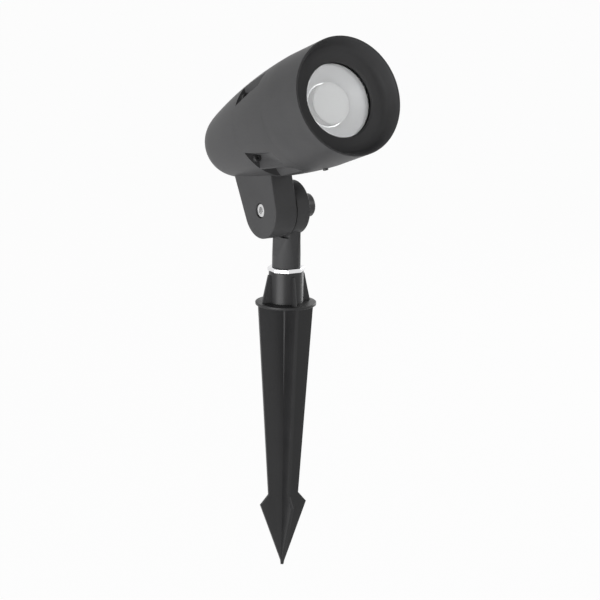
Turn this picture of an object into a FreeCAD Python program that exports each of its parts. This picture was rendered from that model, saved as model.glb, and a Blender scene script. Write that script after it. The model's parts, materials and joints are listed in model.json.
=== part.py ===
import FreeCAD, Part
import math
import os

# Garden spike spotlight. Millimetres, degrees. The ground line, which is the underside of the
# spike's flange, is z = 0. The stem stands on the Z axis, the tilt axis runs along X, and the
# head looks towards -Y and up. On the head, a station is a distance behind the rim, along the
# optical axis, and a bearing is an angle round that axis from the bottom, positive towards -X.

# Places
pivot_height = 72.9         # tilt axis above the ground line
rest_tilt = 21.5            # how far the head looks up
head_offset = -12.6         # X of the optical axis
axis_height = 56.5          # optical axis above the tilt axis
pivot_station = 122.4       # station of the tilt axis

# Clearances
running_fit = 0.06          # radial, where one piece turns in another
slip_fit = 0.1              # radial, where one piece is pushed into another
thread_fit = 0.05           # radial, between a screw and its thread
seam_gap = 0.08             # hairline between castings
screw_end_gap = 0.3         # between a screw's end and the bottom of its hole
overcut = 1.0               # how far a cut runs past the face that it opens

# Ground spike, moulded
fin_top_radius = 21.8
fin_neck_radius = 11.8
neck_depth = 146.0
barb_radius = 18.3
barb_depth = 153.5
spike_depth = 202.0
fin_thickness = 2.4
core_radius = 2.6
fin_bearing = -11.0         # turn of the fins about Z
flange_radius = 22.6
flange_thickness = 2.2
socket_radius = 12.9
socket_height = 25.5        # top of the socket above the ground line
socket_floor = 5.0
socket_mouth_chamfer = 0.6
gusset_thickness = 2.2
gusset_top_radius = 14.3
gusset_foot_radius = 19.2
gusset_top_drop = 2.5       # below the socket's top

# Stem
stem_radius = 10.5
stem_foot_gap = 0.5
neck_start = 38.0           # where the round stem begins to turn flat
neck_end = 49.0
neck_half_x = 7.5
neck_half_y = 10.4
neck_corner = 4.6
ear_radius = 20.0
ear_outer_x = 7.2
ear_thickness = 11.5
ear_edge_round = 0.8

# Lock ring
ring_corner_radius = 13.9
ring_sides = 8
ring_height = 3.2
ring_chamfer = 0.5
ring_turn = -5.0

# Tilt clamp: screw, washers and cap nut on the tilt axis
screw_radius = 3.0
screw_head_radius = 5.0
screw_head_height = 6.0
screw_key_width = 5.0
screw_key_depth = 3.4
screw_head_recess = 0.9     # under the arm's face
screw_end_past_ear = 8.5
spring_washer_thickness = 1.5
counterbore_gap = 0.6
friction_washer_thickness = 0.7
friction_washer_radius = 19.0
clamp_nut_radius = 8.6
clamp_nut_length = 12.6
clamp_nut_flange_radius = 9.6
clamp_nut_flange_length = 1.6
clamp_nut_chamfer = 0.7

# Arm, cast on the rear housing
arm_thickness = 19.0
arm_radius = 20.8
arm_rear_flare = 7.0        # each edge leans out towards the head
arm_front_flare = 5.0
arm_reach = 34.0            # above the tilt axis, through the housing's wall
arm_edge_round = 0.9
arm_neck_gap = 0.4

# Head's outer skin
rim_radius = 43.4
barrel_length = 40.4
barrel_end_radius = 42.8
waist_radius = 40.1         # control point half way to the tail
tail_length = 27.7          # of the dome that closes the head
tail_radius = 28.5
tail_shoulder_share = 0.83  # of the dome, to the control point of its shoulder
tail_nose_radius = 21.4
head_length = 169.7
tail_flat_drop = 1.0        # flat ground on the dome for the gland

# Castings
wall = 3.0
tail_wall = 3.5
hood_length = 50.0
rear_station = 97.0         # end of the front housing
flange_length = 3.0
flange_bore_radius = 21.5

# Hood mouth and lens seat
rim_wall = 1.6
rim_round = 0.5
face_station = 11.0
mouth_taper = 3.5           # of the flared wall's radius, down to the face ring
face_fillet = 4.5
lens_opening_step = 3.9     # opening's edge inside the glass's edge
opening_bevel = 1.0
lip_thickness = 2.2

# Lens and gasket
glass_edge_step = 8.5       # glass's edge inside the spigot's
glass_thickness = 4.0
gasket_lip = 0.8
gasket_wall = 2.1
gasket_cover = 3.5          # of the lips over the glass

# Front housing's spigot, chamber and bulkhead
hood_wall = 3.3             # round the spigot
spigot_wall = 3.5
spigot_lip_length = 3.0
spigot_lip = 7.1            # stands in from the chamber's wall
bulkhead_station = 44.3
bulkhead_thickness = 4.0
step_length = 4.0           # thick ring behind the shoulder
lead_hole_radius = 4.5
lead_hole_height = 20.0
hood_groove_station = 27.0
seal_section = 0.92
seal_squeeze = 0.03
housing_seal_radius = 24.2
groove_side_gap = 0.1

# Wedge pockets: across is measured square to the bearing, positive towards +X at the bottom
pocket_rear_station = 94.0
pocket_front_station = 59.0
pocket_deep_radius = 29.5   # of the deepest corner, at the rear wall
pocket_rear_half = 8.2
pocket_front_half = 6.0
pocket_deep_skew = 1.6      # the screw pockets lean towards the bottom or the top
pocket_front_skew = 3.5
pocket_shell = 2.4
screw_pocket_bearings = (50.0, 130.0, -50.0, -130.0)
relief_pocket_bearings = (22.5, -22.5)

# Screws of the housings and the hood
housing_screw_radius = 1.5
housing_screw_head_radius = 2.75
housing_screw_head_height = 3.0
housing_screw_length = 9.0
housing_screw_circle = 33.3
housing_screw_skew = 1.2
housing_key_width = 2.5
housing_key_depth = 1.3
spot_face_gap = 0.35        # round and over the screw's head
boss_radius = 4.2
boss_length = 10.0
grub_radius = 2.0
grub_station = 45.5
grub_proud = 1.3
grub_dimple = 1.2
grub_key_width = 2.0
grub_key_depth = 1.5

# Light engine
pad_radius = 11.5
pad_thickness = 0.5
board_radius = 17.0
board_thickness = 1.6
chip_radius = 7.5
chip_thickness = 0.6
phosphor_radius = 5.6
phosphor_thickness = 0.4
board_screw_radius = 1.2
board_screw_head_radius = 2.2
board_screw_head_height = 1.8
board_screw_length = 5.0
board_screw_circle = 14.3
board_screw_bearings = (0.0, 120.0, 240.0)
small_key_share = 1.6       # key's width in the small screws, of the thread's radius
optic_station = 31.4
optic_radius = 15.6
optic_disc_thickness = 1.8
optic_foot_radius = 8.0
optic_well_radius = 5.2
optic_well_depth = 3.4
optic_foot_gap = 1.8        # above the LED board
holder_wall = 1.3
holder_foot_wall = 1.95
holder_skirt = 2.6
reflector_wall = 1.1
reflector_mouth_gap = 2.0   # inside the spigot's lip
reflector_bulge = 1.2
reflector_flange = 1.2
reflector_seat_gap = 0.2    # behind the lens gasket
reflector_foot_gap = 0.3    # round the lens of the light engine

# Driver
tray_half_width = 13.0
tray_thickness = 1.5
tray_drop = 9.5             # shelf's underside below the optical axis
tray_end_station = 120.0
tray_foot_half = 15.0
tray_foot_low = -17.0
tray_foot_high = 8.0
tray_screw_x = 10.5
tray_screw_y = -13.3
tray_screw_radius = 1.5
tray_screw_head_radius = 2.7
tray_screw_head_height = 2.0
tray_screw_grip = 2.6       # into the bulkhead
post_radius = 1.8
post_height = 4.0
post_x = 10.5
post_end_gap = 3.5
driver_board_thickness = 1.6
driver_board_front_gap = 2.0
transformer_size = (16.0, 13.0, 15.0)
transformer_station = 64.0
bobbin_flange = 1.2
capacitor_radius = 4.0
capacitor_height = 11.0
capacitor_stations = (88.0, 98.0)
capacitor_x = 6.5
terminal_size = (15.0, 10.0, 9.0)
terminal_station = 107.0
terminal_hole_radius = 1.6
terminal_pitch = 4.6
lead_radius = 0.9
lead_x = 2.0
lead_bend = 3.5
lead_start_height = 15.2
lead_end_gap = 2.0          # short of the transformer
solder_gap = 0.05

# Cable gland on the tail
gland_thread_radius = 6.0
gland_bore_radius = 3.7
gland_hex_width = 15.0
gland_hex_length = 3.5
gland_washer_radius = 8.2
gland_washer_thickness = 1.0
gland_inner_length = 9.0
gland_outer_length = 6.5
gland_seat_radius = 5.2
gland_seat_depth = 5.5
cable_radius = 3.5          # hole of the rubber seal
gland_seal_proud = 0.8
gland_locknut_length = 3.5
gland_nut_wall = 1.1
gland_nut_round = 2.2

# Worked out from the above
tail_station = head_length - tail_length
tail_shoulder = tail_length * tail_shoulder_share
tail_flat_station = head_length - tail_flat_drop
spigot_radius = barrel_end_radius - hood_wall
chamber_radius = spigot_radius - spigot_wall
spigot_mouth_radius = chamber_radius - spigot_lip
glass_radius = spigot_radius - glass_edge_step
gasket_inner_radius = glass_radius - gasket_cover
lens_opening_radius = glass_radius - lens_opening_step
face_corner_radius = rim_radius - rim_wall - mouth_taper
reflector_mouth_radius = spigot_mouth_radius - reflector_mouth_gap
ear_inner_x = ear_outer_x - ear_thickness
arm_right_x = ear_inner_x - friction_washer_thickness
arm_left_x = arm_right_x - arm_thickness
neck_top = pivot_height - arm_radius - arm_neck_gap
screw_head_end_x = arm_left_x + screw_head_recess + screw_head_height
counterbore_floor_x = screw_head_end_x + spring_washer_thickness
gasket_front = face_station + lip_thickness
glass_front = gasket_front + gasket_lip
glass_back = glass_front + glass_thickness
gasket_back = glass_back + gasket_lip
gasket_radius = glass_radius + gasket_wall
board_front = bulkhead_station - pad_thickness - board_thickness
board_back = bulkhead_station - pad_thickness
bulkhead_back = bulkhead_station + bulkhead_thickness
shoulder_station = hood_length + seam_gap
rear_start = rear_station + seam_gap
rear_flange_end = rear_start + flange_length + wall / 2
shelf_top = tray_thickness - tray_drop
board_under = shelf_top + post_height
board_top = board_under + driver_board_thickness
driver_board_start = bulkhead_back + tray_thickness + driver_board_front_gap
gland_hex_start = tail_flat_station + gland_washer_thickness
gland_hex_end = gland_hex_start + gland_hex_length
gland_outer_end = gland_hex_end + gland_outer_length
seal_start = gland_outer_end - gland_seat_depth
seal_end = gland_outer_end + gland_seal_proud
tail_inner_station = tail_flat_station - tail_wall
beyond = head_length + spike_depth      # longer than any cut

ORIGIN = FreeCAD.Vector(0, 0, 0)
X_AXIS = FreeCAD.Vector(1, 0, 0)
Y_AXIS = FreeCAD.Vector(0, 1, 0)
Z_AXIS = FreeCAD.Vector(0, 0, 1)


def cylinder_x(radius, start, end, y=0.0, z=pivot_height):
    """Cylinder along X, by default on the tilt axis."""
    return Part.makeCylinder(radius, end - start, FreeCAD.Vector(start, y, z), X_AXIS)


def cylinder_z(radius, low, high):
    return Part.makeCylinder(radius, high - low, FreeCAD.Vector(0, 0, low), Z_AXIS)


def prism(sides, corner_radius, low, high):
    """Upright prism on a regular polygon, centred on Z."""
    corners = []
    for number in range(sides + 1):
        angle = 2 * math.pi * number / sides
        corners.append(FreeCAD.Vector(corner_radius * math.cos(angle), corner_radius * math.sin(angle), low))
    return Part.Face(Part.makePolygon(corners)).extrude(FreeCAD.Vector(0, 0, high - low))


def hexagon(width_across_flats, low, high):
    return prism(6, width_across_flats / math.sqrt(3), low, high)


def turned(outline):
    """Solid of revolution about the head's axis from (radius, station) corners."""
    corners = [FreeCAD.Vector(radius, 0, -station) for radius, station in outline]
    face = Part.Face(Part.makePolygon(corners + corners[:1]))
    return face.revolve(ORIGIN, Z_AXIS, 360)


def drum(radius, start, end):
    """Round bar on the head's axis between two stations."""
    return cylinder_z(radius, -end, -start)


def tube(outer_radius, inner_radius, start, end):
    return drum(outer_radius, start, end).cut(drum(inner_radius, start, end))


def bar(x, y, radius, start, end):
    """Round bar parallel to the head's axis."""
    return Part.makeCylinder(radius, end - start, FreeCAD.Vector(x, y, -end), Z_AXIS)


def brick(half_width, low, high, start, end):
    """Box on the head: centred across X, between two heights and two stations."""
    corner = FreeCAD.Vector(-half_width, low, -end)
    return Part.makeBox(2 * half_width, high - low, end - start, corner)


def at_bearing(shape, bearing):
    """Turn a shape made at the bottom of the head to its bearing."""
    turned_shape = shape.copy()
    turned_shape.rotate(ORIGIN, Z_AXIS, -bearing)
    return turned_shape


def ring_section(radius, section, station):
    """O-ring on the head's axis."""
    return Part.makeTorus(radius, section, FreeCAD.Vector(0, 0, -station), Z_AXIS)


def on_head(shape):
    """Carry a shape from the head's axis to the tilted head."""
    placed = shape.copy()
    placed.translate(FreeCAD.Vector(head_offset, axis_height, pivot_station))
    placed.rotate(ORIGIN, X_AXIS, 90 - rest_tilt)
    placed.translate(FreeCAD.Vector(0, 0, pivot_height))
    return placed


def skin(inset):
    """Solid inside the head's outer skin, moved in by inset."""
    def spot(radius, station):
        return FreeCAD.Vector(radius, 0, -station)

    drop = (waist_radius - tail_radius) / ((tail_station - barrel_length) / 2)
    rim = spot(rim_radius - inset, 0)
    barrel_end = spot(barrel_end_radius - inset, barrel_length)
    waist = spot(waist_radius - inset, (barrel_length + tail_station) / 2)
    tail = spot(tail_radius - inset, tail_station)
    shoulder = spot(tail_radius - inset - drop * tail_shoulder, tail_station + tail_shoulder - inset / 2)
    nose = spot(tail_nose_radius - inset, head_length - inset)
    end = spot(0, head_length - inset)
    side = Part.BezierCurve()
    side.setPoles([barrel_end, waist, tail])
    dome = Part.BezierCurve()
    dome.setPoles([tail, shoulder, nose, end])
    edges = [
        Part.makeLine(ORIGIN, rim),
        Part.makeLine(rim, barrel_end),
        side.toShape(),
        dome.toShape(),
        Part.makeLine(end, ORIGIN),
    ]
    return Part.Face(Part.Wire(edges)).revolve(ORIGIN, Z_AXIS, 360)


def skin_between(inset, start, end):
    return skin(inset).common(drum(rim_radius + wall, start, end))


def skin_radius(station):
    """Outer radius on the curved side, between the barrel and the tail."""
    share = (station - barrel_length) / (tail_station - barrel_length)
    return ((1 - share) ** 2 * barrel_end_radius + 2 * share * (1 - share) * waist_radius
            + share ** 2 * tail_radius)


def fin_outline(top_radius):
    """Half turn of one blade: straight taper, neck, barb and point."""
    side = [(top_radius, 0), (fin_neck_radius, -neck_depth), (barb_radius, -barb_depth)]
    mirrored = [(-radius, depth) for radius, depth in reversed(side)]
    corners = side + [(0, -spike_depth)] + mirrored
    return [FreeCAD.Vector(radius, -fin_thickness / 2, depth) for radius, depth in corners]


def blade():
    corners = fin_outline(fin_top_radius)
    face = Part.Face(Part.makePolygon(corners + corners[:1]))
    return face.extrude(FreeCAD.Vector(0, fin_thickness, 0))


def gusset():
    """Pair of ribs that brace the socket, in line with a blade."""
    top = socket_height - gusset_top_drop
    side = [(gusset_foot_radius, flange_thickness / 2), (gusset_top_radius, top)]
    mirrored = [(-radius, height) for radius, height in reversed(side)]
    corners = [FreeCAD.Vector(radius, -gusset_thickness / 2, height) for radius, height in side + mirrored]
    face = Part.Face(Part.makePolygon(corners + corners[:1]))
    return face.extrude(FreeCAD.Vector(0, gusset_thickness, 0))


def ground_spike():
    core = Part.makeCone(0, core_radius, spike_depth, FreeCAD.Vector(0, 0, -spike_depth), Z_AXIS)
    flange = cylinder_z(flange_radius, 0, flange_thickness)
    flange = flange.makeFillet(flange_thickness / 4, flange.Edges)
    socket = cylinder_z(socket_radius, 0, socket_height)
    body = core.fuse([flange, socket])
    for turn in (0, 90):
        ribs = blade().fuse(gusset())
        ribs.rotate(ORIGIN, Z_AXIS, turn)
        body = body.fuse(ribs)
    bore_radius = stem_radius + running_fit
    bore = cylinder_z(bore_radius, socket_floor, socket_height + overcut)
    mouth = Part.makeCone(bore_radius, bore_radius + socket_mouth_chamfer, socket_mouth_chamfer,
                          FreeCAD.Vector(0, 0, socket_height - socket_mouth_chamfer), Z_AXIS)
    body = body.cut(bore.fuse(mouth)).removeSplitter()
    body.rotate(ORIGIN, Z_AXIS, 90 + fin_bearing)
    return body


def rounded_section(half_x, half_y, corner, height):
    """Closed outline of a rectangle whose corners are quarter circles."""
    flat_x = half_x - corner
    flat_y = half_y - corner
    edges = []
    for number in range(4):
        middle = math.pi / 4 + number * math.pi / 2
        centre_x = math.copysign(flat_x, math.cos(middle))
        centre_y = math.copysign(flat_y, math.sin(middle))
        points = []
        for angle in (middle - math.pi / 4, middle, middle + math.pi / 4):
            points.append(FreeCAD.Vector(centre_x + corner * math.cos(angle),
                                         centre_y + corner * math.sin(angle), height))
        if edges:
            edges.append(Part.makeLine(last, points[0]))
        else:
            first = points[0]
        edges.append(Part.Arc(*points).toShape())
        last = points[2]
    edges.append(Part.makeLine(last, first))
    return Part.Wire(edges)


def stem():
    foot = socket_floor + stem_foot_gap
    tiny_flat = 0.02        # keeps the round section's edges matched with the flat one's
    round_part = cylinder_z(stem_radius, foot, neck_start)
    start = rounded_section(stem_radius, stem_radius, stem_radius - tiny_flat, neck_start)
    finish = rounded_section(neck_half_x, neck_half_y, neck_corner, neck_end)
    blend = Part.makeLoft([start, finish], True, True)
    neck = Part.Face(rounded_section(neck_half_x, neck_half_y, neck_corner, neck_end))
    top = neck.extrude(FreeCAD.Vector(0, 0, neck_top - neck_end))
    slab = Part.makeBox(ear_thickness, beyond, beyond, FreeCAD.Vector(ear_inner_x, -beyond / 2, 0))
    web = neck.extrude(FreeCAD.Vector(0, 0, pivot_height - neck_end)).common(slab)
    disc = cylinder_x(ear_radius, ear_inner_x, ear_outer_x)
    disc = disc.makeFillet(ear_edge_round, [edge for edge in disc.Edges if edge.BoundBox.XLength < 0.001])
    body = round_part.fuse([blend, top, web, disc]).removeSplitter()
    pivot_hole = cylinder_x(screw_radius + running_fit, ear_inner_x - overcut, ear_outer_x + overcut)
    return body.cut(pivot_hole)


def lock_ring():
    body = prism(ring_sides, ring_corner_radius, socket_height, socket_height + ring_height)
    body = body.makeChamfer(ring_chamfer, [edge for edge in body.Edges if edge.BoundBox.ZLength < 0.001])
    body = body.cut(cylinder_z(stem_radius + running_fit, 0, beyond))
    body.rotate(ORIGIN, Z_AXIS, 360 / ring_sides / 2 + ring_turn)
    return body


def keyed_screw(radius, head_radius, head_height, length, key_width, key_depth):
    """Cap screw along +Z with its head's underside at z = 0 and the head below."""
    head = cylinder_z(head_radius, -head_height, 0)
    head = head.makeFillet(head_height / 12, [edge for edge in head.Edges if edge.BoundBox.ZMax < -0.1])
    key = hexagon(key_width, -head_height - overcut, key_depth - head_height)
    shank = cylinder_z(radius, 0, length)
    return head.fuse(shank).removeSplitter().cut(key)


def tilt_screw():
    length = ear_outer_x + screw_end_past_ear - screw_head_end_x
    body = keyed_screw(screw_radius, screw_head_radius, screw_head_height, length,
                       screw_key_width, screw_key_depth)
    body.rotate(ORIGIN, Y_AXIS, 90)
    body.translate(FreeCAD.Vector(screw_head_end_x, 0, pivot_height))
    return body


def screw_washer():
    outer = cylinder_x(screw_head_radius, screw_head_end_x, counterbore_floor_x)
    return outer.cut(cylinder_x(screw_radius + slip_fit, screw_head_end_x, counterbore_floor_x))


def friction_washer():
    outer = cylinder_x(friction_washer_radius, arm_right_x, ear_inner_x)
    return outer.cut(cylinder_x(screw_radius + slip_fit, arm_right_x, ear_inner_x))


def clamp_nut():
    end = ear_outer_x + clamp_nut_length
    barrel = cylinder_x(clamp_nut_radius, ear_outer_x, end)
    far_edges = [edge for edge in barrel.Edges if edge.BoundBox.XMin > end - 0.001]
    barrel = barrel.makeChamfer(clamp_nut_chamfer, far_edges)
    flange = cylinder_x(clamp_nut_flange_radius, ear_outer_x, ear_outer_x + clamp_nut_flange_length)
    thread = cylinder_x(screw_radius + running_fit, ear_outer_x, ear_outer_x + screw_end_past_ear + overcut)
    return barrel.fuse(flange).removeSplitter().cut(thread)


def hood():
    body = skin_between(0, 0, hood_length)
    rim_inner = rim_radius - rim_wall
    lean = (rim_inner - face_corner_radius) / face_station
    wall_end = face_station - face_fillet
    wall_end_radius = rim_inner - lean * wall_end
    corner = FreeCAD.Vector(face_corner_radius, 0, -face_station)
    fillet_start = FreeCAD.Vector(wall_end_radius, 0, -wall_end)
    fillet_end = FreeCAD.Vector(face_corner_radius - face_fillet, 0, -face_station)
    curve = Part.BezierCurve()
    curve.setPoles([fillet_start, corner, fillet_end])
    front = FreeCAD.Vector(rim_inner + rim_round, 0, 0)
    inner_rim = FreeCAD.Vector(rim_inner, 0, -rim_round)
    edges = [
        Part.makeLine(ORIGIN, front),
        Part.makeLine(front, inner_rim),
        Part.makeLine(inner_rim, fillet_start),
        curve.toShape(),
        Part.makeLine(fillet_end, FreeCAD.Vector(0, 0, -face_station)),
        Part.makeLine(FreeCAD.Vector(0, 0, -face_station), ORIGIN),
    ]
    mouth = Part.Face(Part.Wire(edges)).revolve(ORIGIN, Z_AXIS, 360)
    opening = turned([
        (0, face_station - overcut),
        (lens_opening_radius + opening_bevel + overcut, face_station - overcut),
        (lens_opening_radius, face_station + opening_bevel),
        (lens_opening_radius, gasket_front),
        (gasket_radius + slip_fit, gasket_front),
        (gasket_radius + slip_fit, gasket_back),
        (spigot_radius + slip_fit, gasket_back),
        (spigot_radius + slip_fit, hood_length + overcut),
        (0, hood_length + overcut),
    ])
    grub_hole = Part.makeCylinder(grub_radius + thread_fit, beyond,
                                  FreeCAD.Vector(0, 0, -grub_station), -Y_AXIS)
    return body.cut(mouth).cut(opening).cut(grub_hole)


def lens_glass():
    body = drum(glass_radius - slip_fit, glass_front, glass_back)
    return body.makeChamfer(gasket_lip / 2, [body.Edges[0], body.Edges[2]])


def lens_gasket():
    return turned([
        (gasket_inner_radius, gasket_front),
        (gasket_radius, gasket_front),
        (gasket_radius, gasket_back),
        (gasket_inner_radius, gasket_back),
        (gasket_inner_radius, glass_back),
        (glass_radius, glass_back),
        (glass_radius, glass_front),
        (gasket_inner_radius, glass_front),
    ])


def polyhedron(faces):
    shell = Part.makeShell([Part.Face(Part.makePolygon(face + face[:1])) for face in faces])
    return Part.makeSolid(shell)


def pocket_wedge(lean, shell=0.0):
    """Three-sided cut at the bottom of the head, or its casting when shell is the wall round it."""
    front = pocket_front_station - shell
    rear = pocket_rear_station
    rear_half = pocket_rear_half + shell
    front_left = lean * pocket_front_skew - pocket_front_half - shell
    front_right = lean * pocket_front_skew + pocket_front_half + shell

    def on_skin(across, station):
        depth = math.sqrt(skin_radius(station) ** 2 - across ** 2) - shell
        return FreeCAD.Vector(across, -depth, -station)

    def outside(across, station):
        return FreeCAD.Vector(across, -beyond, -station)

    deep = FreeCAD.Vector(lean * pocket_deep_skew, shell - pocket_deep_radius, -rear)
    left, right = on_skin(-rear_half, rear), on_skin(rear_half, rear)
    tip_left, tip_right = on_skin(front_left, front), on_skin(front_right, front)
    out_left, out_right = outside(-rear_half, rear), outside(rear_half, rear)
    far_left, far_right = outside(front_left, front), outside(front_right, front)
    return polyhedron([
        [out_left, left, deep, right, out_right],
        [left, deep, tip_left],
        [deep, tip_left, tip_right],
        [deep, right, tip_right],
        [tip_left, tip_right, far_right, far_left],
        [out_left, left, tip_left, far_left],
        [out_right, right, tip_right, far_right],
        [out_left, out_right, far_right, far_left],
    ])


def pocket_lean(bearing):
    """Which way a pocket leans: the screw pockets lean away from the head's sides."""
    if bearing in relief_pocket_bearings:
        return 0
    return math.copysign(1, math.sin(math.radians(2 * bearing)))


def at_screws(shape):
    """Copies of a shape made at the middle of the bottom, at each housing screw."""
    copies = []
    for bearing in screw_pocket_bearings:
        placed = shape.copy()
        placed.translate(FreeCAD.Vector(pocket_lean(bearing) * housing_screw_skew, 0, 0))
        copies.append(at_bearing(placed, bearing))
    return copies


def front_housing():
    outside = skin_between(0, shoulder_station, rear_station)
    outside = outside.fuse(drum(spigot_radius, gasket_back, shoulder_station + overcut))
    step_end = shoulder_station + step_length
    cavity = drum(spigot_mouth_radius, gasket_back - overcut, gasket_back + spigot_lip_length)
    cavity = cavity.fuse(drum(chamber_radius, gasket_back + spigot_lip_length, bulkhead_station))
    cavity = cavity.fuse(drum(chamber_radius, bulkhead_back, step_end))
    cavity = cavity.fuse(skin_between(wall, step_end, pocket_rear_station))
    cavity = cavity.fuse(drum(flange_bore_radius, pocket_rear_station - overcut, rear_station + overcut))
    body = outside.cut(cavity)
    inside_skin = skin_between(wall / 2, step_end, rear_station)
    cuts = []
    for bearing in screw_pocket_bearings + relief_pocket_bearings:
        lean = pocket_lean(bearing)
        body = body.fuse(at_bearing(pocket_wedge(lean, pocket_shell).common(inside_skin), bearing))
        cuts.append(at_bearing(pocket_wedge(lean), bearing))
    cuts += at_screws(bar(0, -housing_screw_circle, housing_screw_radius + slip_fit,
                          pocket_rear_station - overcut, rear_station + overcut))
    cuts += at_screws(bar(0, -housing_screw_circle, housing_screw_head_radius + spot_face_gap,
                          pocket_rear_station - housing_screw_head_height - spot_face_gap,
                          pocket_rear_station))
    cuts.append(bar(0, lead_hole_height, lead_hole_radius,
                    bulkhead_station - overcut, bulkhead_back + overcut))
    board_hole = bar(0, -board_screw_circle, board_screw_radius + thread_fit,
                     bulkhead_station - overcut, board_front + board_screw_length + screw_end_gap)
    cuts += [at_bearing(board_hole, bearing) for bearing in board_screw_bearings]
    for side in (-1, 1):
        cuts.append(bar(side * tray_screw_x, tray_screw_y, tray_screw_radius + thread_fit,
                        bulkhead_back - tray_screw_grip - screw_end_gap, bulkhead_back + overcut))
    groove_floor = spigot_radius + slip_fit - 2 * seal_section - 2 * seal_squeeze
    groove_end = hood_groove_station + 2 * seal_section + 2 * groove_side_gap
    cuts.append(tube(spigot_radius + overcut, groove_floor, hood_groove_station, groove_end))
    face_groove_depth = 2 * seal_section + 2 * seal_squeeze - seam_gap
    half_groove = seal_section + groove_side_gap
    cuts.append(tube(housing_seal_radius + half_groove, housing_seal_radius - half_groove,
                     rear_station - face_groove_depth, rear_station + overcut))
    cuts.append(Part.makeCylinder(grub_radius + thread_fit, beyond,
                                  FreeCAD.Vector(0, grub_dimple - spigot_radius, -grub_station), -Y_AXIS)
                .common(drum(spigot_radius + overcut, gasket_back, shoulder_station - overcut)))
    return body.cut(cuts).removeSplitter()


def arm():
    """Flat arm below the head, drawn in the plane square to the tilt axis."""
    front_flare = math.radians(arm_front_flare)
    rear_flare = math.radians(arm_rear_flare)
    centre_y = -axis_height
    centre_z = -pivot_station

    def spot(up, forward):
        return FreeCAD.Vector(arm_left_x - head_offset, centre_y + up, centre_z + forward)

    def edge_forward(up, lean):
        """How far the arm's edge stands from the tilt axis at a height above it."""
        return arm_radius / math.cos(lean) + up * math.tan(lean)

    front_up = -arm_radius * math.sin(front_flare)
    rear_up = -arm_radius * math.sin(rear_flare)
    front_low = spot(front_up, edge_forward(front_up, front_flare))
    rear_low = spot(rear_up, -edge_forward(rear_up, rear_flare))
    front_high = spot(arm_reach, edge_forward(arm_reach, front_flare))
    rear_high = spot(arm_reach, -edge_forward(arm_reach, rear_flare))
    edges = [
        Part.Arc(front_low, spot(-arm_radius, 0), rear_low).toShape(),
        Part.makeLine(rear_low, rear_high),
        Part.makeLine(rear_high, front_high),
        Part.makeLine(front_high, front_low),
    ]
    body = Part.Face(Part.Wire(edges)).extrude(FreeCAD.Vector(arm_thickness, 0, 0))
    outline = []
    for edge in body.Edges:
        box = edge.BoundBox
        if box.XLength < 0.001 and box.YMin < centre_y + arm_reach - 1:
            outline.append(edge)
    return body.makeFillet(arm_edge_round, outline)


def rear_housing():
    outside = skin_between(0, rear_start, tail_flat_station).fuse(arm())
    cavity = skin_between(wall, rear_flange_end, tail_inner_station)
    cavity = cavity.fuse(drum(flange_bore_radius, rear_start - overcut, rear_flange_end + overcut))
    body = outside.cut(cavity)
    inside_wall = skin_between(wall / 2, rear_start, tail_inner_station)
    boss = bar(0, -housing_screw_circle, boss_radius, rear_start, rear_start + boss_length)
    for placed in at_screws(boss):
        body = body.fuse(placed.common(inside_wall))
    thread_end = pocket_rear_station + housing_screw_length + screw_end_gap
    cuts = at_screws(bar(0, -housing_screw_circle, housing_screw_radius + thread_fit,
                         rear_start - overcut, thread_end))
    cuts.append(drum(gland_thread_radius + slip_fit,
                     tail_inner_station - overcut, tail_flat_station + overcut))
    left = arm_left_x - head_offset
    cuts.append(cylinder_x(screw_radius + running_fit, left - overcut, left + arm_thickness + overcut,
                           -axis_height, -pivot_station))
    cuts.append(cylinder_x(screw_head_radius + counterbore_gap, left - overcut,
                           counterbore_floor_x - head_offset, -axis_height, -pivot_station))
    return body.cut(cuts).removeSplitter()


def reflector():
    mouth_station = gasket_back + reflector_seat_gap
    foot_radius = optic_radius + reflector_foot_gap
    middle_station = (mouth_station + optic_station) / 2
    middle_radius = (reflector_mouth_radius + foot_radius) / 2 + reflector_bulge

    def bowl(extra):
        points = [(reflector_mouth_radius + extra, mouth_station), (middle_radius + extra, middle_station),
                  (foot_radius + extra, optic_station)]
        vectors = [FreeCAD.Vector(radius, 0, -station) for radius, station in points]
        curve = Part.Arc(*vectors).toShape()
        top = FreeCAD.Vector(0, 0, -mouth_station)
        bottom = FreeCAD.Vector(0, 0, -optic_station)
        edges = [Part.makeLine(top, vectors[0]), curve, Part.makeLine(vectors[2], bottom),
                 Part.makeLine(bottom, top)]
        return Part.Face(Part.Wire(edges)).revolve(ORIGIN, Z_AXIS, 360)

    flange = drum(spigot_mouth_radius - slip_fit, mouth_station, mouth_station + reflector_flange)
    return bowl(reflector_wall).fuse(flange).cut(bowl(0)).removeSplitter()


def optic_lens():
    foot = board_front - optic_foot_gap
    skirt = optic_station + optic_disc_thickness
    body = turned([
        (0, optic_station),
        (optic_radius, optic_station),
        (optic_radius, skirt),
        (optic_radius - holder_wall / 2, skirt),
        (optic_foot_radius, foot),
        (0, foot),
    ])
    return body.cut(drum(optic_well_radius, foot - optic_well_depth, foot + overcut))


def optic_holder():
    skirt = optic_station + optic_disc_thickness
    foot = board_front - optic_foot_gap
    inner = optic_radius + slip_fit
    outer = inner + holder_wall
    return turned([
        (inner, optic_station),
        (outer, optic_station),
        (outer, optic_station + holder_skirt),
        (optic_foot_radius + holder_foot_wall, board_front),
        (optic_foot_radius + slip_fit, board_front),
        (optic_foot_radius + slip_fit, foot + slip_fit),
        (optic_radius - holder_wall / 2 + slip_fit, skirt + slip_fit),
        (inner, skirt + slip_fit),
    ])


def led_board():
    body = drum(board_radius, board_front, board_back)
    hole = bar(0, -board_screw_circle, board_screw_radius + slip_fit,
               board_front - overcut, board_back + overcut)
    return body.cut([at_bearing(hole, bearing) for bearing in board_screw_bearings])


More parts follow.
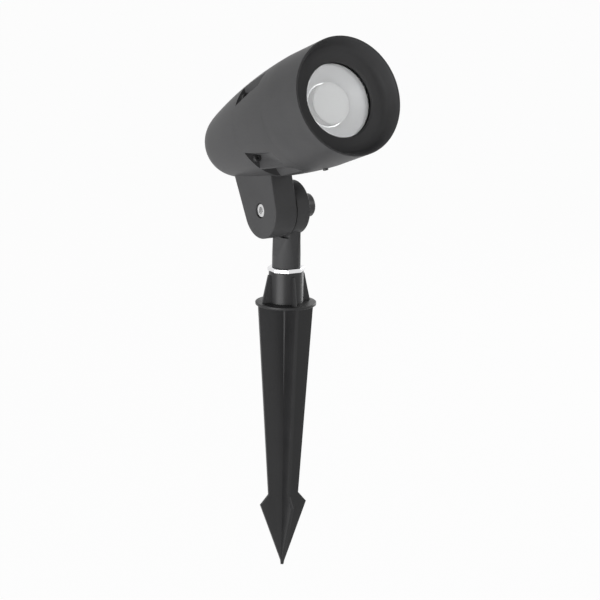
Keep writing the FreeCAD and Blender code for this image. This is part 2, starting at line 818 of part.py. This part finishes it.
def led_chip():
    base = drum(chip_radius, board_front - chip_thickness, board_front)
    phosphor = drum(phosphor_radius, board_front - chip_thickness - phosphor_thickness,
                    board_front - chip_thickness)
    return base.fuse(phosphor)


def thermal_pad():
    return drum(pad_radius, board_back, bulkhead_station)


def driven_rearwards(screw, circle, station):
    """A cap screw at the bottom of the head, its head's underside at a station."""
    placed = screw.copy()
    placed.rotate(ORIGIN, X_AXIS, 180)
    placed.translate(FreeCAD.Vector(0, -circle, -station))
    return placed


def led_board_screws():
    screw = keyed_screw(board_screw_radius, board_screw_head_radius, board_screw_head_height,
                        board_screw_length, board_screw_radius * small_key_share, board_screw_head_height / 2)
    screw = driven_rearwards(screw, board_screw_circle, board_front)
    return Part.makeCompound([at_bearing(screw, bearing) for bearing in board_screw_bearings])


def housing_screws():
    screw = keyed_screw(housing_screw_radius, housing_screw_head_radius, housing_screw_head_height,
                        housing_screw_length, housing_key_width, housing_key_depth)
    return Part.makeCompound(at_screws(driven_rearwards(screw, housing_screw_circle, pocket_rear_station)))


def hood_grub_screw():
    inner_end = spigot_radius - grub_dimple + thread_fit
    outer_end = skin_radius(grub_station) + grub_proud
    body = cylinder_z(grub_radius, inner_end, outer_end)
    body = body.makeChamfer(grub_radius / 6, [body.Edges[0], body.Edges[2]])
    body = body.cut(hexagon(grub_key_width, outer_end - grub_key_depth, outer_end + overcut))
    body.rotate(ORIGIN, X_AXIS, 90)
    body.translate(FreeCAD.Vector(0, 0, -grub_station))
    return body


def hood_seal():
    middle = hood_groove_station + seal_section + groove_side_gap
    return ring_section(spigot_radius + slip_fit - seal_section - seal_squeeze, seal_section, middle)


def housing_seal():
    return ring_section(housing_seal_radius, seal_section, rear_start - seal_section - seal_squeeze)


def driver_tray():
    foot = brick(tray_foot_half, tray_foot_low, tray_foot_high, bulkhead_back,
                 bulkhead_back + tray_thickness)
    shelf = brick(tray_half_width, -tray_drop, shelf_top, bulkhead_back, tray_end_station)
    holes = []
    for side in (-1, 1):
        holes.append(bar(side * tray_screw_x, tray_screw_y, tray_screw_radius + slip_fit,
                         bulkhead_back - overcut, bulkhead_back + tray_thickness + overcut))
    return foot.fuse(shelf).removeSplitter().cut(holes)


def tray_screws():
    screw = keyed_screw(tray_screw_radius, tray_screw_head_radius, tray_screw_head_height,
                        tray_thickness + tray_screw_grip, tray_screw_radius * small_key_share,
                        tray_screw_head_height / 2)
    screw.translate(FreeCAD.Vector(0, 0, -bulkhead_back - tray_thickness))
    copies = []
    for side in (-1, 1):
        placed = screw.copy()
        placed.translate(FreeCAD.Vector(side * tray_screw_x, tray_screw_y, 0))
        copies.append(placed)
    return Part.makeCompound(copies)


def board_posts():
    posts = []
    for side in (-1, 1):
        for station in (driver_board_start + post_end_gap, tray_end_station - post_end_gap):
            base = FreeCAD.Vector(side * post_x, shelf_top, -station)
            posts.append(Part.makeCylinder(post_radius, post_height, base, Y_AXIS))
    return Part.makeCompound(posts)


def driver_board():
    return brick(tray_half_width, board_under, board_top, driver_board_start, tray_end_station)


def driver_transformer():
    width, height, length = transformer_size
    end = transformer_station + length
    core = brick(width / 2, board_top + bobbin_flange, board_top + height,
                 transformer_station + bobbin_flange, end - bobbin_flange)
    bobbin = brick(width / 2 - bobbin_flange, board_top, board_top + height - 2 * bobbin_flange,
                   transformer_station, end)
    return core.fuse(bobbin).removeSplitter()


def driver_capacitors():
    cans = []
    for side in (-1, 1):
        for station in capacitor_stations:
            base = FreeCAD.Vector(side * capacitor_x, board_top, -station)
            can = Part.makeCylinder(capacitor_radius, capacitor_height, base, Y_AXIS)
            cans.append(can.makeFillet(capacitor_radius / 8, [can.Edges[0]]))
    return Part.makeCompound(cans)


def terminal_block():
    width, height, length = terminal_size
    end = terminal_station + length
    body = brick(width / 2, board_top, board_top + height, terminal_station, end)
    holes = []
    for place in (-1, 0, 1):
        x = place * terminal_pitch
        holes.append(bar(x, board_top + height / 3, terminal_hole_radius, end - length / 2, end + overcut))
        holes.append(Part.makeCylinder(terminal_hole_radius, height / 2,
                                       FreeCAD.Vector(x, board_top + height * 2 / 3,
                                                      -terminal_station - length / 2), Y_AXIS))
    return body.cut(holes)


def bent_wire(points, bend, radius):
    """Round wire along straight runs joined by tangent arcs."""
    edges = []
    start = points[0]
    for before, corner, after in zip(points, points[1:], points[2:]):
        way_in = (corner - before).normalize()
        way_out = (after - corner).normalize()
        half_turn = way_in.getAngle(way_out) / 2
        setback = bend * math.tan(half_turn)
        arc_start = corner - way_in * setback
        arc_end = corner + way_out * setback
        to_centre = (way_out - way_in).normalize()
        middle = corner + to_centre * (bend / math.cos(half_turn) - bend)
        edges.append(Part.makeLine(start, arc_start))
        edges.append(Part.Arc(arc_start, middle, arc_end).toShape())
        start = arc_end
    edges.append(Part.makeLine(start, points[-1]))
    path = Part.Wire(edges)
    first_way = points[1] - points[0]
    section = Part.Wire(Part.makeCircle(radius, points[0], first_way))
    return path.makePipeShell([section], True, False)


def led_leads():
    """Two leads from the LED board, round its edge and through the bulkhead to the driver."""
    board_line = board_front - lead_radius - solder_gap
    driver_line = board_top + lead_radius + solder_gap
    leads = []
    for side in (-1, 1):
        x = side * lead_x
        points = [
            FreeCAD.Vector(x, lead_start_height - lead_radius, -board_line),
            FreeCAD.Vector(x, lead_hole_height, -board_line),
            FreeCAD.Vector(x, lead_hole_height, -(bulkhead_back + 2 * lead_bend)),
            FreeCAD.Vector(x, driver_line, -(bulkhead_back + 2 * lead_bend)),
            FreeCAD.Vector(x, driver_line, -(transformer_station - lead_end_gap)),
        ]
        leads.append(bent_wire(points, lead_bend / 2, lead_radius))
    return Part.makeCompound(leads)


def gland_body():
    inner_end = tail_inner_station - gland_inner_length + tail_wall
    body = drum(gland_thread_radius, inner_end, gland_outer_end)
    body = body.fuse(hexagon(gland_hex_width, -gland_hex_end, -gland_hex_start)).removeSplitter()
    body = body.cut(drum(gland_bore_radius, inner_end - overcut, gland_outer_end + overcut))
    return body.cut(drum(gland_seat_radius, seal_start, gland_outer_end + overcut))


def gland_washer():
    return tube(gland_washer_radius, gland_thread_radius + slip_fit, tail_flat_station, gland_hex_start)


def gland_locknut():
    start = tail_inner_station - gland_locknut_length
    body = hexagon(gland_hex_width, -tail_inner_station, -start)
    return body.cut(drum(gland_thread_radius + thread_fit, start - overcut, tail_inner_station + overcut))


def gland_seal():
    return tube(gland_seat_radius - thread_fit, cable_radius, seal_start, seal_end)


def gland_nut():
    start = gland_hex_end + seam_gap
    inner_end = seal_end + seam_gap
    end = inner_end + gland_nut_wall
    body = hexagon(gland_hex_width, -end, -start)
    dome = drum(gland_hex_width / math.sqrt(3), start, end)
    rear_edge = [edge for edge in dome.Edges if edge.BoundBox.ZMax < -end + 0.001]
    body = body.common(dome.makeFillet(gland_nut_round, rear_edge))
    body = body.cut(drum(gland_thread_radius + thread_fit, start - overcut, inner_end))
    return body.cut(drum(gland_bore_radius, start, end + overcut))


upright_parts = {
    "ground_spike": ground_spike,
    "stem": stem,
    "lock_ring": lock_ring,
    "tilt_screw": tilt_screw,
    "screw_washer": screw_washer,
    "friction_washer": friction_washer,
    "clamp_nut": clamp_nut,
}

head_parts = {
    "hood": hood,
    "lens_glass": lens_glass,
    "lens_gasket": lens_gasket,
    "front_housing": front_housing,
    "rear_housing": rear_housing,
    "reflector": reflector,
    "optic_lens": optic_lens,
    "optic_holder": optic_holder,
    "led_board": led_board,
    "led_chip": led_chip,
    "thermal_pad": thermal_pad,
    "led_board_screws": led_board_screws,
    "housing_screws": housing_screws,
    "hood_grub_screw": hood_grub_screw,
    "hood_seal": hood_seal,
    "housing_seal": housing_seal,
    "driver_tray": driver_tray,
    "tray_screws": tray_screws,
    "board_posts": board_posts,
    "driver_board": driver_board,
    "driver_transformer": driver_transformer,
    "driver_capacitors": driver_capacitors,
    "terminal_block": terminal_block,
    "led_leads": led_leads,
    "gland_body": gland_body,
    "gland_washer": gland_washer,
    "gland_locknut": gland_locknut,
    "gland_seal": gland_seal,
    "gland_nut": gland_nut,
}

os.makedirs("parts", exist_ok=True)
for name, make in upright_parts.items():
    make().exportStep("parts/" + name + ".step")
for name, make in head_parts.items():
    on_head(make()).exportStep("parts/" + name + ".step")
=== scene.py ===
import bpy
import json
import math
from mathutils import Matrix, Vector


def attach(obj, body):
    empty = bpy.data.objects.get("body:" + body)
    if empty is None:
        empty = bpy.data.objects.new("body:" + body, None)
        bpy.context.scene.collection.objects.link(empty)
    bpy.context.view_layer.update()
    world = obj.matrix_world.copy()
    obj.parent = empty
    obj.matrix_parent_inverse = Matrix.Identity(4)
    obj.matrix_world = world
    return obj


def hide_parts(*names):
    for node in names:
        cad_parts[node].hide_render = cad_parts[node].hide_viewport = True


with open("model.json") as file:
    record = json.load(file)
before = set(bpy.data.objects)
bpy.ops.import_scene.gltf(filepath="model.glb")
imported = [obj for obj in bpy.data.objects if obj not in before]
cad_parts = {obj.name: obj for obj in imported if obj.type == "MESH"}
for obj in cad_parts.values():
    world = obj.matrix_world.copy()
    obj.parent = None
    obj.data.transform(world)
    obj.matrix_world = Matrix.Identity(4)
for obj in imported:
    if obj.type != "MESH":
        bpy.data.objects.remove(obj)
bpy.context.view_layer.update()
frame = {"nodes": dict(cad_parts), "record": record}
nodes = frame["nodes"]

# The camera. It stands to the left of the lamp's front, a little above the head, and looks
# down by 13 degrees through a long lens, so the lamp is drawn with almost no perspective.
azimuth, elevation, roll = math.radians(-34.5), math.radians(13.3), math.radians(-0.87)
camera_distance, camera_right, camera_up = 2.22, 0.01057, 0.00294
back = Vector((math.sin(azimuth) * math.cos(elevation),
               -math.cos(azimuth) * math.cos(elevation), math.sin(elevation)))
level_right = Vector((math.cos(azimuth), math.sin(azimuth), 0))
level_up = back.cross(level_right)
right = level_right * math.cos(roll) - level_up * math.sin(roll)
up = level_right * math.sin(roll) + level_up * math.cos(roll)
bpy.ops.object.select_all(action="DESELECT")
bpy.ops.object.camera_add()
camera = bpy.context.object
camera.data.lens = 180
camera.data.sensor_width = 36
camera.data.clip_end = 60
camera_place = right * camera_right + up * camera_up + back * camera_distance
camera.matrix_world = (Matrix.Translation(camera_place)
                       @ Matrix((right, up, back)).transposed().to_4x4())
bpy.context.scene.camera = camera

# The studio. A pale floor well below the spike's point runs back past the picture's top edge. It
# is white to the eye and in metal, glass and gloss, as the air above it is. A broad soft box lights
# the arm's side from low down, a small one the hood from in front, and one the far side and back.
floor_size, floor_height = 60, -0.3
white, floor_colour = (1, 1, 1, 1), (0.9, 0.9, 0.9, 1)
floor_share_white, air_strength = 0.97, 0.08


def background_rays(tree):
    """The node output that is 1 for the rays that should meet a white background."""
    path = tree.nodes.new("ShaderNodeLightPath")
    seen = path.outputs["Is Camera Ray"]
    for ray in ("Is Glossy Ray", "Is Transmission Ray"):
        either = tree.nodes.new("ShaderNodeMath")
        either.operation = "MAXIMUM"
        tree.links.new(seen, either.inputs[0])
        tree.links.new(path.outputs[ray], either.inputs[1])
        seen = either.outputs[0]
    return seen


bpy.ops.object.select_all(action="DESELECT")
bpy.ops.mesh.primitive_plane_add(size=floor_size, location=(0, 0, floor_height))
floor = bpy.context.object
floor.name = "studio_floor"
floor_paint = bpy.data.materials.new("pale_floor")
floor_paint.use_nodes = True
floor_tree = floor_paint.node_tree
floor_shader = floor_tree.nodes["Principled BSDF"]
floor_shader.inputs["Base Color"].default_value = floor_colour
floor_shader.inputs["Roughness"].default_value = 0.9
floor_glow = floor_tree.nodes.new("ShaderNodeEmission")
floor_glow.inputs["Color"].default_value = white
floor_share = floor_tree.nodes.new("ShaderNodeMath")
floor_share.operation = "MULTIPLY"
floor_share.inputs[1].default_value = floor_share_white
floor_mix = floor_tree.nodes.new("ShaderNodeMixShader")
floor_tree.links.new(background_rays(floor_tree), floor_share.inputs[0])
floor_tree.links.new(floor_share.outputs[0], floor_mix.inputs[0])
floor_tree.links.new(floor_shader.outputs[0], floor_mix.inputs[1])
floor_tree.links.new(floor_glow.outputs[0], floor_mix.inputs[2])
floor_tree.links.new(floor_mix.outputs[0], floor_tree.nodes["Material Output"].inputs[0])
floor.data.materials.append(floor_paint)

studio = bpy.data.worlds.new("studio")
bpy.context.scene.world = studio
studio.use_nodes = True
air_tree = studio.node_tree
studio_air = air_tree.nodes["Background"]
studio_air.inputs["Color"].default_value = white
studio_air.inputs["Strength"].default_value = air_strength
backdrop = air_tree.nodes.new("ShaderNodeBackground")
backdrop.inputs["Color"].default_value = white
backdrop.inputs["Strength"].default_value = 1.0
air_mix = air_tree.nodes.new("ShaderNodeMixShader")
air_tree.links.new(background_rays(air_tree), air_mix.inputs[0])
air_tree.links.new(studio_air.outputs[0], air_mix.inputs[1])
air_tree.links.new(backdrop.outputs[0], air_mix.inputs[2])
air_tree.links.new(air_mix.outputs[0], air_tree.nodes["World Output"].inputs[0])


def soft_box(name, place, aim, width, height, power):
    """A rectangular studio lamp that points at a spot."""
    bpy.ops.object.select_all(action="DESELECT")
    bpy.ops.object.light_add(type="AREA", location=place)
    lamp = bpy.context.object
    lamp.name = name
    lamp.data.shape = "RECTANGLE"
    lamp.data.size = width
    lamp.data.size_y = height
    lamp.data.energy = power
    lamp.rotation_euler = (Vector(place) - Vector(aim)).to_track_quat("Z", "Y").to_euler()
    lamp.visible_camera = False


soft_box("side_soft_box", place=(-1.0, -0.3, 0.04), aim=(-0.01, -0.04, 0.1),
         width=0.9, height=0.55, power=7.6)
soft_box("front_soft_box", place=(0.76, -1.1, 0.7), aim=(-0.01, -0.08, 0.17),
         width=0.5, height=0.5, power=2.4)
soft_box("rear_soft_box", place=(1.5, 0.45, 0.2), aim=(0, 0.02, 0.08),
         width=0.8, height=0.8, power=6)
bpy.context.scene.view_settings.view_transform = "Standard"


# The ground spike, moulded in black plastic: four fins on a thin core, a barb near the point,
# a flange that stops it at the ground, and a ribbed socket that holds the stem.
drift_scale, gloss_drift = 45, 0.05
merge_distance = 0.000002
flat_angle, edge_angle, smooth_angle = math.radians(0.2), math.radians(35), math.radians(30)


def finish(name, colour, roughness, grain, depth, mottle, metal=0.0, stretch=(1, 1, 1), specular=0.5):
    """A material whose colour and gloss drift slightly and whose surface has a fine grain.

    grain is the size of the grain and depth its height, in metres. mottle is the share by which
    the colour drifts, and stretch scales the grain along each axis.
    """
    material = bpy.data.materials.new(name)
    material.use_nodes = True
    tree = material.node_tree
    shader = tree.nodes["Principled BSDF"]
    shader.inputs["Metallic"].default_value = metal
    shader.inputs["Specular IOR Level"].default_value = specular
    place = tree.nodes.new("ShaderNodeTexCoord")
    turn = tree.nodes.new("ShaderNodeMapping")
    turn.inputs["Scale"].default_value = stretch
    drift = tree.nodes.new("ShaderNodeTexNoise")
    drift.inputs["Scale"].default_value = drift_scale
    drift.inputs["Detail"].default_value = 4
    tint = tree.nodes.new("ShaderNodeValToRGB")
    tint.color_ramp.elements[0].position = 0.3
    tint.color_ramp.elements[1].position = 0.7
    tint.color_ramp.elements[0].color = [value * (1 - mottle) for value in colour] + [1]
    tint.color_ramp.elements[1].color = [value * (1 + mottle) for value in colour] + [1]
    gloss = tree.nodes.new("ShaderNodeMapRange")
    gloss.inputs["To Min"].default_value = roughness - gloss_drift
    gloss.inputs["To Max"].default_value = roughness + gloss_drift
    grit = tree.nodes.new("ShaderNodeTexNoise")
    grit.inputs["Scale"].default_value = 1 / grain
    grit.inputs["Detail"].default_value = 2
    bump = tree.nodes.new("ShaderNodeBump")
    bump.inputs["Strength"].default_value = 0.5
    bump.inputs["Distance"].default_value = depth
    tree.links.new(place.outputs["Object"], turn.inputs["Vector"])
    tree.links.new(turn.outputs["Vector"], grit.inputs["Vector"])
    tree.links.new(place.outputs["Object"], drift.inputs["Vector"])
    tree.links.new(drift.outputs["Fac"], tint.inputs["Fac"])
    tree.links.new(tint.outputs["Color"], shader.inputs["Base Color"])
    tree.links.new(drift.outputs["Fac"], gloss.inputs["Value"])
    tree.links.new(gloss.outputs["Result"], shader.inputs["Roughness"])
    tree.links.new(grit.outputs["Fac"], bump.inputs["Height"])
    tree.links.new(bump.outputs["Normal"], shader.inputs["Normal"])
    return material


def paint(piece, material):
    piece.data.materials.clear()
    piece.data.materials.append(material)


def finished_copy(node, body, material, edge=0.0):
    """The CAD piece as one merged surface with softened edges, shown in the node's place."""
    piece = bpy.data.objects.new(node + "_finished", nodes[node].data.copy())
    bpy.context.collection.objects.link(piece)
    bpy.ops.object.select_all(action="DESELECT")
    bpy.context.view_layer.objects.active = piece
    piece.select_set(True)
    bpy.ops.mesh.customdata_custom_splitnormals_clear()
    bpy.ops.object.mode_set(mode="EDIT")
    bpy.ops.mesh.select_all(action="SELECT")
    bpy.ops.mesh.remove_doubles(threshold=merge_distance)
    bpy.ops.mesh.dissolve_limited(angle_limit=flat_angle)
    bpy.ops.object.mode_set(mode="OBJECT")
    if edge:
        rounding = piece.modifiers.new("soft_edges", "BEVEL")
        rounding.width = edge
        rounding.segments = 2
        rounding.limit_method = "ANGLE"
        rounding.angle_limit = edge_angle
        rounding.use_clamp_overlap = True
        bpy.ops.object.modifier_apply(modifier=rounding.name)
    bpy.ops.object.shade_smooth_by_angle(angle=smooth_angle)
    paint(piece, material)
    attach(piece, body)
    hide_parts(node)


moulded_black = finish("moulded_black", (0.024, 0.024, 0.025), roughness=0.38, grain=0.0006,
                       depth=0.00003, mottle=0.12, stretch=(1, 1, 0.3), specular=0.35)
finished_copy("ground_spike", "spike", moulded_black, edge=0.0005)

# The stem, cast in aluminium and powder coated dark grey: a round foot that turns in the
# socket, a neck that goes flat, and the round ear that the head is clamped to.
grey_coat = finish("grey_powder_coat", (0.095, 0.095, 0.097), roughness=0.42, grain=0.0007,
                   depth=0.000012, mottle=0.05, specular=0.07)
finished_copy("stem", "stem", grey_coat)

# The lock ring, an eight-sided steel nut under bright zinc. It rests on the socket's mouth
# and is screwed down on the stem to stop it from turning.
bright_zinc = finish("bright_zinc", (0.8, 0.8, 0.81), roughness=0.24, grain=0.0004, depth=0.00001,
                     mottle=0.04, metal=1.0, stretch=(0.05, 0.05, 1))
finished_copy("lock_ring", "lock_ring", bright_zinc)

# The tilt clamp: a stainless cap screw and its washer, sunk in the arm, a thin plastic washer
# between arm and ear, and the black cap nut that the screw draws up on the far side.
stainless = finish("stainless", (0.66, 0.66, 0.66), roughness=0.3, grain=0.0003, depth=0.00001,
                   mottle=0.05, metal=1.0)
black_steel = finish("black_oxide", (0.045, 0.045, 0.046), roughness=0.4, grain=0.0004,
                     depth=0.00002, mottle=0.1)
black_nylon = finish("black_nylon", (0.03, 0.03, 0.03), roughness=0.5, grain=0.0004, depth=0.00002,
                     mottle=0.08)
finished_copy("tilt_screw", "tilt_screw", stainless, edge=0.00015)
finished_copy("screw_washer", "tilt_screw", stainless)
finished_copy("friction_washer", "stem", black_nylon)
finished_copy("clamp_nut", "stem", black_steel)

# The rear housing, cast in one with the arm: the bullet's tail, four screw bosses inside and
# the hole for the cable gland. The same powder coat goes over all of it.
finished_copy("rear_housing", "head", grey_coat)

# The front housing: the head's middle, with four wedge pockets over the screws and two more
# below that lighten the casting, a bulkhead and the spigot that the hood slides over.
finished_copy("front_housing", "head", grey_coat)

# The hood: a turned casting that ends in a thin rim, with a ring round the lens set back
# inside it to keep the light out of people's eyes.
finished_copy("hood", "head", grey_coat)

# The screws that join the castings: black socket screws, four in the pockets and one that
# stands a little proud under the hood and locks it on the spigot.
finished_copy("housing_screws", "head", black_steel)
finished_copy("hood_grub_screw", "head", black_steel)

# The lens: toughened glass in a rubber channel, held between the hood and the spigot. The
# rubber seals of the castings and of the gland are made of the same rubber.
glass = finish("toughened_glass", (0.97, 0.98, 0.98), roughness=0.05, grain=0.004, depth=0.00001,
               mottle=0.01)
glass_shader = glass.node_tree.nodes["Principled BSDF"]
glass_shader.inputs["Transmission Weight"].default_value = 1.0
glass_shader.inputs["IOR"].default_value = 1.5
finished_copy("lens_glass", "head", glass)
black_rubber = finish("black_rubber", (0.03, 0.03, 0.03), roughness=0.7, grain=0.0005,
                      depth=0.00003, mottle=0.08)
for node in ("lens_gasket", "hood_seal", "housing_seal", "gland_washer", "gland_seal"):
    paint(nodes[node], black_rubber)

# The light engine: a grey satin bowl round a frosted, slightly domed lens that gathers the
# beam, in a polished holder with a rolled bead, over an LED on a white board that is screwed
# to the bulkhead through a silicone pad.
cable_entry = [mount for mount in frame["record"]["mounts"] if mount["name"] == "cable_entry"][0]
axis_spot, rearward = Vector(cable_entry["pos_m"]), Vector(cable_entry["axis"])


def reach_forward(node):
    """How far a piece of the head reaches forward along the optical axis, from the cable entry."""
    return max((axis_spot - vertex.co).dot(rearward) for vertex in nodes[node].data.vertices)


def settle(piece, forward):
    """Stand a piece made on Z at a place on the optical axis, facing the way the lamp looks."""
    piece.matrix_world = (Matrix.Translation(axis_spot - rearward * forward)
                          @ (-rearward).to_track_quat("Z", "X").to_matrix().to_4x4())
    bpy.ops.object.select_all(action="DESELECT")
    bpy.context.view_layer.objects.active = piece
    piece.select_set(True)
    bpy.ops.object.transform_apply(location=True, rotation=True, scale=True)


satin_bowl = finish("satin_bowl", (0.6, 0.6, 0.61), roughness=0.5, grain=0.004, depth=0.0002,
                    mottle=0.02, metal=0.6)
finished_copy("reflector", "head", satin_bowl)
frosted = finish("frosted_acrylic", (0.5, 0.5, 0.5), roughness=0.38, grain=0.0005, depth=0.00003,
                 mottle=0.03)
finished_copy("optic_lens", "head", frosted)
polished = finish("polished_lip", (0.9, 0.9, 0.91), roughness=0.14, grain=0.002, depth=0.00002,
                  mottle=0.02, metal=1.0)
finished_copy("optic_holder", "head", polished, edge=0.0006)

dome_radius, dome_height, dome_foot = 0.0151, 0.0016, 0.0004
underside_normal = -0.9
bpy.ops.object.select_all(action="DESELECT")
bpy.ops.mesh.primitive_uv_sphere_add(segments=96, ring_count=48, radius=dome_radius)
dome = bpy.context.object
dome.name = "optic_dome"
bpy.ops.object.mode_set(mode="EDIT")
bpy.ops.mesh.select_all(action="SELECT")
bpy.ops.mesh.bisect(plane_co=(0, 0, 0), plane_no=(0, 0, 1), clear_inner=True, use_fill=True)
bpy.ops.mesh.select_all(action="SELECT")
bpy.ops.transform.resize(value=(1, 1, dome_height / dome_radius))
bpy.ops.mesh.select_all(action="DESELECT")
bpy.ops.object.mode_set(mode="OBJECT")
for face in dome.data.polygons:
    face.select = face.normal.z < underside_normal
bpy.ops.object.mode_set(mode="EDIT")
bpy.ops.mesh.extrude_region_move(TRANSFORM_OT_translate={"value": (0, 0, -dome_foot)})
bpy.ops.object.mode_set(mode="OBJECT")
bpy.ops.object.shade_smooth_by_angle(angle=math.radians(40))
settle(dome, reach_forward("optic_lens") + dome_foot)
paint(dome, frosted)
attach(dome, "head")

bead_radius, bead_section, bead_flat = 0.0157, 0.0008, 0.8
bpy.ops.object.select_all(action="DESELECT")
bpy.ops.mesh.primitive_torus_add(major_segments=144, minor_segments=20, major_radius=bead_radius,
                                 minor_radius=bead_section)
bead = bpy.context.object
bead.name = "optic_bead"
bpy.ops.object.mode_set(mode="EDIT")
bpy.ops.mesh.select_all(action="SELECT")
bpy.ops.transform.resize(value=(1, 1, bead_flat))
bpy.ops.object.mode_set(mode="OBJECT")
bpy.ops.object.shade_smooth_by_angle(angle=math.radians(60))
settle(bead, reach_forward("optic_lens") + bead_section * bead_flat / 2)
paint(bead, polished)
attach(bead, "head")

white_board = finish("white_solder_mask", (0.78, 0.79, 0.78), roughness=0.35, grain=0.0003,
                     depth=0.00001, mottle=0.03)
phosphor = finish("phosphor", (0.85, 0.67, 0.16), roughness=0.3, grain=0.0003, depth=0.00002,
                  mottle=0.05)
grey_silicone = finish("grey_silicone", (0.42, 0.43, 0.45), roughness=0.6, grain=0.0004,
                       depth=0.00003, mottle=0.06)
for node, material in (("led_board", white_board), ("led_chip", phosphor),
                       ("thermal_pad", grey_silicone), ("led_board_screws", stainless)):
    paint(nodes[node], material)

# The driver: a bare aluminium tray on the bulkhead, its board on plastic posts, and on the
# board the transformer, the capacitors and the terminals for the cable.
bare_sheet = finish("bare_sheet", (0.6, 0.61, 0.62), roughness=0.35, grain=0.0004, depth=0.00001,
                    mottle=0.05, metal=1.0, stretch=(1, 0.1, 0.1))
white_plastic = finish("white_plastic", (0.8, 0.8, 0.79), roughness=0.4, grain=0.0005,
                       depth=0.00002, mottle=0.03)
green_mask = finish("green_solder_mask", (0.03, 0.16, 0.07), roughness=0.35, grain=0.0006,
                    depth=0.00002, mottle=0.15)
yellow_tape = finish("yellow_tape", (0.72, 0.55, 0.12), roughness=0.4, grain=0.0008, depth=0.00003,
                     mottle=0.06)
dark_sleeve = finish("dark_sleeve", (0.05, 0.06, 0.1), roughness=0.3, grain=0.001, depth=0.00002,
                     mottle=0.1)
green_plastic = finish("green_plastic", (0.1, 0.36, 0.16), roughness=0.45, grain=0.0005,
                       depth=0.00002, mottle=0.08)
red_silicone = finish("red_silicone", (0.45, 0.05, 0.04), roughness=0.5, grain=0.0005,
                      depth=0.00002, mottle=0.08)
for node, material in (("driver_tray", bare_sheet), ("tray_screws", stainless),
                       ("board_posts", white_plastic), ("driver_board", green_mask),
                       ("driver_transformer", yellow_tape), ("driver_capacitors", dark_sleeve),
                       ("terminal_block", green_plastic), ("led_leads", red_silicone)):
    paint(nodes[node], material)

# The cable gland at the tail, moulded in black nylon: body, lock nut inside the wall, and
# the cap nut that squeezes the rubber seal round a cable.
finished_copy("gland_body", "head", black_nylon)
finished_copy("gland_nut", "head", black_nylon)
paint(nodes["gland_locknut"], black_nylon)
